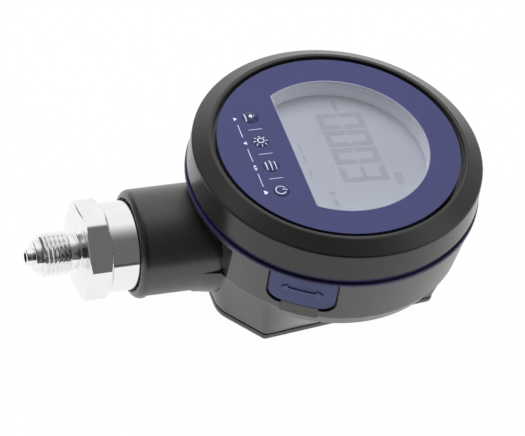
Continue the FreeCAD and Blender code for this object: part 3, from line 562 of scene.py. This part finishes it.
def steel_rows():
    """All rows of the connection, outwards along the outside and back through the bore."""
    ring_start, ring_end, ring_r = RING_GROOVE
    seal_start, seal_end, seal_r = SEAL_GROOVE
    rows = plain_rows([
        (STEM_END, CELL_BORE_R, 0), (STEM_END, JOURNAL_R, TURNED_EASE),
        (ring_start, JOURNAL_R, 0), (ring_start, ring_r, 0),
        (ring_end, ring_r, 0), (ring_end, JOURNAL_R, 0),
        (seal_start, JOURNAL_R, 0), (seal_start, seal_r, 0),
        (seal_end, seal_r, 0), (seal_end, JOURNAL_R, 0),
        (JOURNAL_END, JOURNAL_R, 0), (JOURNAL_END, BODY_R, 0), (HEX_START, BODY_R, 0),
    ])
    rows += even_rows(HEX_START, HEX_START + HEX_REAR_BEVEL, HEX_REAR_STEP, hex_radius)
    rows += even_rows(HEX_END - HEX_FRONT_BEVEL, HEX_END, HEX_FRONT_STEP, hex_radius)
    rows += plain_rows([
        (HEX_END, HEX_BEVEL_R - HEX_EASE, 0), (HEX_END, RELIEF_R, RELIEF_FILLET),
        (THREAD_START, RELIEF_R, 0),
    ])
    rows += even_rows(THREAD_START, THREAD_END, THREAD_PITCH / THREAD_ROWS, thread_radius)
    rows += plain_rows([
        (THREAD_END, PILOT_R, 0), (PILOT_END, PILOT_R, TURNED_EASE), (PILOT_END, TIP_R, 0),
        (TIP_END, TIP_R, TURNED_EASE), (TIP_END, PORT_R, 0), (CELL_BORE_END, PORT_R, 0),
        (CELL_BORE_END, CELL_BORE_R, 0),
    ])
    return rows


def steel_connection(material):
    """Turned steel body with hexagon, cut thread, pilot and tip."""
    shape = bmesh.new()
    # The first line of the mesh lies on a corner of the hexagon
    first = math.radians(HEX_TURN + 30)
    angles = [first + 2 * math.pi * i / STEM_SIDES for i in range(STEM_SIDES)]
    rings = []
    for along, radius in steel_rows():
        ring = []
        for angle in angles:
            r = radius(along, angle)
            place = (r * math.cos(angle), -along, STEM_Z + r * math.sin(angle))
            ring.append(shape.verts.new([mm(c) for c in place]))
        rings.append(ring)
    for i, ring in enumerate(rings):
        following = rings[(i + 1) % len(rings)]
        for j in range(STEM_SIDES):
            k = (j + 1) % STEM_SIDES
            shape.faces.new((ring[j], ring[k], following[k], following[j]))
    bmesh.ops.remove_doubles(shape, verts=shape.verts, dist=mm(JOIN_GAP))
    bmesh.ops.recalc_face_normals(shape, faces=shape.faces)
    mesh = bpy.data.meshes.new("steel_connection")
    shape.to_mesh(mesh)
    shape.free()
    mesh.shade_smooth()
    mesh.set_sharp_from_angle(angle=math.radians(SHARP_ANGLE))
    piece = add_piece("steel_connection", mesh, material, "stem")
    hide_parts("process_connection")


# Printed signs

def flat_face(z):
    """Place on a flat printed face."""
    return lambda x, y, lift: (x, y, z + lift)


def key_centre(name):
    """Middle of a key's top."""
    low, high = [in_mm(corner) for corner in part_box(f"key_{name}")]
    return Vector(((low.x + high.x) / 2, (low.y + high.y) / 2, high.z))


def key_face(name):
    """Place on a key's domed top."""
    top = key_centre(name)
    ball_r = (KEY_DOME_R ** 2 + KEY_DOME_H ** 2) / (2 * KEY_DOME_H)

    def place(x, y, lift):
        across = min(math.hypot(x - top.x, y - top.y), KEY_DOME_R)
        return x, y, top.z - ball_r + math.sqrt(ball_r ** 2 - across ** 2) + lift

    return place


def flap_face(x, y, lift):
    """Place on the outside of the flap, x round the case and y upwards."""
    radius = DRUM_R + (CASE_R - DRUM_R) * (y - DRUM_Z) / (CASE_TOP_Z - DRUM_Z)
    angle = math.radians(FLAP_ANGLE) + x / radius
    return (radius + lift) * math.cos(angle), (radius + lift) * math.sin(angle), y


class Print:
    """Thin printed or raised shapes that lie on one face."""

    def __init__(self, place, thick=PRINT_T):
        self.shape = bmesh.new()
        self.place = place
        self.thick = thick

    def vertex(self, x, y, lift):
        """Corner on the face, or above it by the lift."""
        return self.shape.verts.new([mm(c) for c in self.place(x, y, lift)])

    def strip(self, left, right, closed=False):
        """Band between two lines of points."""
        rows = []
        for (lx, ly), (rx, ry) in zip(left, right):
            rows.append([self.vertex(lx, ly, 0), self.vertex(rx, ry, 0),
                         self.vertex(rx, ry, self.thick), self.vertex(lx, ly, self.thick)])
        for i in range(len(rows) if closed else len(rows) - 1):
            here, there = rows[i], rows[(i + 1) % len(rows)]
            for j in range(4):
                k = (j + 1) % 4
                self.shape.faces.new((here[j], here[k], there[k], there[j]))
        if not closed:
            self.shape.faces.new(rows[0])
            self.shape.faces.new(rows[-1])

    def line(self, start, end, width):
        """Straight stroke."""
        start, end = Vector(start), Vector(end)
        side = (end - start).normalized().orthogonal() * (width / 2)
        places = [start.lerp(end, i / LINE_STEPS) for i in range(LINE_STEPS + 1)]
        self.strip([p + side for p in places], [p - side for p in places])

    def arc(self, centre, radius, width, start=0, end=360):
        """Round stroke between two angles in degrees."""
        closed = end - start == 360
        count = ARC_STEPS if closed else ARC_STEPS + 1
        turns = [math.radians(start + (end - start) * i / ARC_STEPS) for i in range(count)]
        lines = []
        for r in (radius - width / 2, radius + width / 2):
            lines.append([(centre[0] + r * math.cos(a), centre[1] + r * math.sin(a)) for a in turns])
        self.strip(lines[0], lines[1], closed)

    def patch(self, points):
        """Filled flat outline."""
        low = [self.vertex(x, y, 0) for x, y in points]
        high = [self.vertex(x, y, self.thick) for x, y in points]
        self.shape.faces.new(low)
        self.shape.faces.new(high)
        for i in range(len(points)):
            j = (i + 1) % len(points)
            self.shape.faces.new((low[i], low[j], high[j], high[i]))

    def dot(self, centre, radius):
        """Filled circle."""
        turns = even_numbers(0, 360, DOT_SIDES)
        self.patch([(centre[0] + radius * cosine(a), centre[1] + radius * sine(a)) for a in turns])

    def piece(self, name, material, body, slot):
        """Close the print and put it into the scene."""
        bmesh.ops.recalc_face_normals(self.shape, faces=self.shape.faces)
        mesh = bpy.data.meshes.new(name)
        self.shape.to_mesh(mesh)
        self.shape.free()
        add_piece(name, mesh, material, body)


def moved(outline, x, y, side=1):
    """An outline moved to a place, and mirrored to the left where the side is -1."""
    return [(x + side * across, y + up) for across, up in outline]


def zero_sign(sign, x, y):
    """Arrow that comes down on a base line."""
    for height, half in ZERO_ARROW:
        sign.line((x - half, y + height), (x + half, y + height), ZERO_LINE)
    base = y + ZERO_BASE_Y
    sign.line((x - ZERO_BASE_HALF, base), (x + ZERO_BASE_HALF, base), SIGN_LINE)


def light_sign(sign, x, y):
    """Sun with rays."""
    middle = Vector((x, y))
    sign.arc((x, y), SUN_R, SIGN_LINE)
    for angle in even_numbers(0, 360, SUN_RAYS):
        ray = Vector((cosine(angle), sine(angle)))
        sign.line(middle + ray * SUN_RAY_START, middle + ray * SUN_RAY_END, SIGN_LINE)


def menu_sign(sign, x, y):
    """Three lines."""
    for height, half in MENU_LINES:
        sign.line((x - half, y + height), (x + half, y + height), SIGN_LINE)


def power_sign(sign, x, y):
    """Open ring with an upright stroke."""
    low, high = POWER_STROKE
    sign.arc((x, y + POWER_Y), POWER_R, SIGN_LINE, *POWER_ANGLES)
    sign.line((x, y + low), (x, y + high), SIGN_LINE)


def key_signs(material):
    """White sign on each key."""
    signs = {"zero": zero_sign, "light": light_sign, "menu": menu_sign, "power": power_sign}
    for name in KEY_NAMES:
        sign = Print(key_face(name))
        top = key_centre(name)
        signs[name](sign, top.x, top.y)
        sign.piece(f"sign_{name}", material, f"key_{name}", "key_foil")


def panel_signs(material):
    """Separators between the keys and the row of small signs below them."""
    signs = Print(flat_face(PANEL_Z))
    centres = [key_centre(name) for name in KEY_NAMES]
    y = ROW_TWO_Y
    for here, there in zip(centres, centres[1:]):
        middle = (here.x + there.x) / 2
        signs.line((middle, here.y - THIN_LINE_HALF), (middle, here.y + THIN_LINE_HALF), THIN_LINE)
        signs.line((middle - ROW_LINE_HALF, y), (middle + ROW_LINE_HALF, y), ROW_LINE)
    up, down, sides, home = [centre.x for centre in centres]
    signs.patch(moved(UP_ARROW, up, y))
    signs.patch(moved(DOWN_ARROW, down, y))
    for side in (-1, 1):
        signs.patch(moved(SIDE_ARROW, sides, y, side))
    signs.patch(moved(HOME_SIGN, home, y))
    signs.piece("panel_signs", material, "case", "panel_foil")


def view_line(reach):
    """Points of the D-shaped view's outline, moved outwards by the reach."""
    radius = VIEW_R + reach
    middle_y = VIEW_CHORD_Y - reach + VIEW_CORNER_R
    middle_x = math.sqrt((radius - VIEW_CORNER_R) ** 2 - middle_y ** 2)
    low = math.degrees(math.atan2(middle_y, middle_x))
    points = []
    for angle in even_numbers(-90, low, VIEW_CORNER_STEPS):
        across, up = VIEW_CORNER_R * cosine(angle), VIEW_CORNER_R * sine(angle)
        points.append((middle_x + across, middle_y + up))
    for angle in even_numbers(low, 180 - low, VIEW_ROUND_STEPS):
        points.append((radius * cosine(angle), radius * sine(angle)))
    for angle in even_numbers(180 - low, 270, VIEW_CORNER_STEPS):
        across, up = VIEW_CORNER_R * cosine(angle), VIEW_CORNER_R * sine(angle)
        points.append((across - middle_x, middle_y + up))
    return points


def view_rim(material):
    """Pale cut edge of the foil round the view."""
    rim = Print(flat_face(PANEL_Z))
    rim.strip(view_line(0), view_line(VIEW_RIM_W), closed=True)
    rim.piece("view_rim", material, "case", "panel_foil")


def window_lining(material):
    """Pale wall round the view, through the thickness of the window and the foil."""
    low = in_mm(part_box("display_window")[0].z)
    lining = Print(flat_face(low), PANEL_Z - low)
    lining.strip(view_line(-LINING_PROUD), view_line(VIEW_RIM_W), closed=True)
    lining.piece("window_lining", material, "case", "surround_plastic")


def flap_sign(material):
    """Raised double arrow on the flap."""
    sign = Print(flap_face, FLAP_SIGN_RISE)
    ends = [(side * FLAP_SIGN_HALF, FLAP_SIGN_Z) for side in (-1, 1)]
    sign.line(ends[0], ends[1], FLAP_SIGN_LINE)
    for side, (x, y) in zip((-1, 1), ends):
        sign.patch(moved(FLAP_SIGN_TIP, x, y, side))
    sign.piece("flap_sign", material, "flap", "flap_rubber")


def segment_outlines(x, y):
    """The seven segments of a slanted figure, with mitred corners, by letter."""
    half_w, half_h = DIGIT_W / 2, DIGIT_H / 2
    inner_w, inner_h = half_w - DIGIT_LINE, half_h - DIGIT_LINE
    bar = [(-half_w, half_h), (half_w, half_h), (inner_w, inner_h), (-inner_w, inner_h)]
    post = [(half_w, half_h), (half_w, 0), (inner_w, DIGIT_MIDDLE / 2), (inner_w, inner_h)]
    middle = [(-half_w, 0), (-inner_w, DIGIT_MIDDLE / 2), (inner_w, DIGIT_MIDDLE / 2),
              (half_w, 0), (inner_w, -DIGIT_MIDDLE / 2), (-inner_w, -DIGIT_MIDDLE / 2)]
    shapes = {"a": (bar, 1, 1), "b": (post, 1, 1), "c": (post, 1, -1), "d": (bar, 1, -1),
              "e": (post, -1, -1), "f": (post, -1, 1), "g": (middle, 1, 1)}
    outlines = {}
    for letter, (corners, side, upright) in shapes.items():
        places = [(side * across, upright * up) for across, up in corners]
        outlines[letter] = [(x + across + up * DIGIT_SLANT, y + up) for across, up in places]
    return outlines


def unit_letters(reading):
    """The unit "bar" in small letters."""
    low, high = UNIT_Y, UNIT_Y + 2 * UNIT_R
    first, second, last = [UNIT_X + place for place in UNIT_PLACES]
    for x, side in ((first, -1), (second, 1)):
        stem = x + side * UNIT_R
        reading.arc((x, low + UNIT_R), UNIT_R - UNIT_LINE / 2, UNIT_LINE)
        reading.line((stem, low), (stem, high), UNIT_LINE)
    reading.line((first - UNIT_R, high), (first - UNIT_R, high + UNIT_ASCENT), UNIT_LINE)
    reading.line((last, low), (last, high), UNIT_LINE)
    reading.arc((last + UNIT_HOOK_R, low + UNIT_R), UNIT_HOOK_R, UNIT_LINE, *UNIT_HOOK_ANGLES)


def display_reading(material):
    """Figures, unit and small marks on the display."""
    reading = Print(flat_face(DISPLAY_Z))
    first_x, first_y = FIRST_DIGIT
    for i, figure in enumerate(DIGITS):
        outlines = segment_outlines(first_x + i * DIGIT_PITCH, first_y)
        for letter in SEGMENTS[figure]:
            reading.patch(outlines[letter])
    reading.line((first_x + MINUS_START, first_y), (first_x + MINUS_END, first_y), DIGIT_MIDDLE)
    point_x = first_x + DIGIT_PITCH / 2 - POINT_BACK
    reading.dot((point_x, first_y - DIGIT_H / 2 - POINT_DROP), POINT_R)
    for start, end in SMALL_MARKS:
        reading.line((start, SMALL_MARKS_Y), (end, SMALL_MARKS_Y), SMALL_MARKS_LINE)
    reading.patch(BATTERY_SIGN)
    reading.line(*BATTERY_TIP, BATTERY_TIP_W)
    unit_letters(reading)
    reading.piece("display_reading", material, "case", "display")


# Studio

def towards(azimuth, elevation):
    """Direction from the object, as the camera's azimuth and elevation are counted."""
    flat = cosine(elevation)
    return Vector((sine(azimuth) * flat, -cosine(azimuth) * flat, sine(elevation)))


def fade(tree, place, direction, start, full, low):
    """Level that falls from 1 to a low level as a place reaches further in a direction."""
    reach = tree.nodes.new("ShaderNodeVectorMath")
    reach.operation = "DOT_PRODUCT"
    reach.inputs[1].default_value = direction
    tree.links.new(place, reach.inputs[0])
    level = tree.nodes.new("ShaderNodeMapRange")
    level.interpolation_type = "SMOOTHSTEP"
    level.inputs["From Min"].default_value = start
    level.inputs["From Max"].default_value = full
    level.inputs["To Min"].default_value = 1
    level.inputs["To Max"].default_value = low
    tree.links.new(reach.outputs["Value"], level.inputs["Value"])
    return level.outputs["Result"]


def lowest(tree, levels):
    """The lowest one of several levels."""
    least = levels[0]
    for level in levels[1:]:
        node = tree.nodes.new("ShaderNodeMath")
        node.operation = "MINIMUM"
        tree.links.new(least, node.inputs[0])
        tree.links.new(level, node.inputs[1])
        least = node.outputs[0]
    return least


def studio_world():
    """White room with dark sides, above all towards the camera; the camera sees plain white."""
    world = bpy.data.worlds.new("studio")
    bpy.context.scene.world = world
    world.use_nodes = True
    tree = world.node_tree
    tree.nodes.clear()
    place = tree.nodes.new("ShaderNodeTexCoord").outputs["Generated"]
    levels = []
    for azimuth, elevation, start, full, level in DARK_SIDES:
        levels.append(fade(tree, place, towards(azimuth, elevation), start, full, level))
    room = tree.nodes.new("ShaderNodeBackground")
    tree.links.new(lowest(tree, levels), room.inputs["Strength"])
    white = tree.nodes.new("ShaderNodeBackground")
    path = tree.nodes.new("ShaderNodeLightPath")
    mix = tree.nodes.new("ShaderNodeMixShader")
    tree.links.new(path.outputs["Is Camera Ray"], mix.inputs[0])
    tree.links.new(room.outputs[0], mix.inputs[1])
    tree.links.new(white.outputs[0], mix.inputs[2])
    for background in (room, white):
        background.inputs["Color"].default_value = (1, 1, 1, 1)
    output = tree.nodes.new("ShaderNodeOutputWorld")
    tree.links.new(mix.outputs[0], output.inputs["Surface"])


def lit_floor(tree):
    """White near the gauge, dim further towards the camera and beyond the end of the stem."""
    place = tree.nodes.new("ShaderNodeTexCoord").outputs["Object"]
    levels = []
    for azimuth, last_white, first_dim in FLOOR_ENDS:
        levels.append(fade(tree, place, towards(azimuth, 0), mm(last_white), mm(first_dim), FLOOR_DIM))
    return lowest(tree, levels)


def floor_material():
    """Pale floor that keeps a soft shadow and looks white to the camera and in reflections."""
    made, tree, shader = new_material("studio_floor")
    shader.inputs["Base Color"].default_value = FLOOR_COLOR
    shader.inputs["Roughness"].default_value = FLOOR_ROUGHNESS
    glow = tree.nodes.new("ShaderNodeEmission")
    path = tree.nodes.new("ShaderNodeLightPath")
    level = tree.nodes.new("ShaderNodeMath")
    level.operation = "MAXIMUM"
    tree.links.new(path.outputs["Is Camera Ray"], level.inputs[0])
    tree.links.new(lit_floor(tree), level.inputs[1])
    tree.links.new(level.outputs[0], glow.inputs["Strength"])
    seen = tree.nodes.new("ShaderNodeMath")
    seen.operation = "MAXIMUM"
    tree.links.new(path.outputs["Is Camera Ray"], seen.inputs[0])
    tree.links.new(path.outputs["Is Glossy Ray"], seen.inputs[1])
    share = tree.nodes.new("ShaderNodeMath")
    share.operation = "MULTIPLY"
    share.inputs[1].default_value = FLOOR_GLOW
    tree.links.new(seen.outputs[0], share.inputs[0])
    mix = tree.nodes.new("ShaderNodeMixShader")
    tree.links.new(share.outputs[0], mix.inputs[0])
    tree.links.new(shader.outputs[0], mix.inputs[1])
    tree.links.new(glow.outputs[0], mix.inputs[2])
    tree.links.new(mix.outputs[0], tree.nodes["Material Output"].inputs["Surface"])
    return made


def studio_floor():
    """Large pale plane that the gauge lies on."""
    half = mm(FLOOR_HALF)
    mesh = bpy.data.meshes.new("studio_floor")
    corners = [(-half, -half, 0), (half, -half, 0), (half, half, 0), (-half, half, 0)]
    mesh.from_pydata(corners, [], [(0, 1, 2, 3)])
    mesh.materials.append(floor_material())
    floor = bpy.data.objects.new("studio_floor", mesh)
    bpy.context.scene.collection.objects.link(floor)


def softbox():
    """Large soft lamp above the far side of the dial."""
    lamp = bpy.data.lights.new("softbox", "AREA")
    lamp.size = mm(SOFTBOX_SIZE)
    lamp.energy = SOFTBOX_POWER
    place = towards(SOFTBOX_AZIMUTH, SOFTBOX_ELEVATION) * mm(SOFTBOX_DISTANCE)
    light = bpy.data.objects.new("softbox", lamp)
    light.location = place
    light.visible_glossy = False
    light.rotation_euler = place.to_track_quat("Z", "Y").to_euler()
    bpy.context.scene.collection.objects.link(light)


def photo_camera():
    """Camera at the photograph's viewing angle."""
    back = towards(CAMERA_AZIMUTH, CAMERA_ELEVATION)
    level = Vector((cosine(CAMERA_AZIMUTH), sine(CAMERA_AZIMUTH), 0))
    upright = back.cross(level)
    right = level * cosine(CAMERA_ROLL) + upright * sine(CAMERA_ROLL)
    up = upright * cosine(CAMERA_ROLL) - level * sine(CAMERA_ROLL)
    data = bpy.data.cameras.new("photo_camera")
    data.lens = CAMERA_LENS
    data.sensor_width = CAMERA_SENSOR
    data.clip_end = mm(10 * CAMERA_DISTANCE)
    camera = bpy.data.objects.new("photo_camera", data)
    place = mm(Vector(CAMERA_AIM)) + back * mm(CAMERA_DISTANCE)
    turn = Matrix((right, up, back)).transposed().to_4x4()
    camera.matrix_world = Matrix.Translation(place) @ turn
    bpy.context.scene.collection.objects.link(camera)
    bpy.context.scene.camera = camera


materials = finish_nodes()
print_white = white_print()
steel_connection(materials["turned_steel"])
key_signs(print_white)
panel_signs(print_white)
view_rim(pale_edge())
window_lining(materials["surround_plastic"])
# The raised flap sign gets a lighter copy of the flap rubber, a painted highlight.
flap_sign(flap_mark_painted_highlight())
display_reading(display_ink())
studio_world()
studio_floor()
softbox()
photo_camera()
bpy.context.scene.view_settings.view_transform = "Standard"
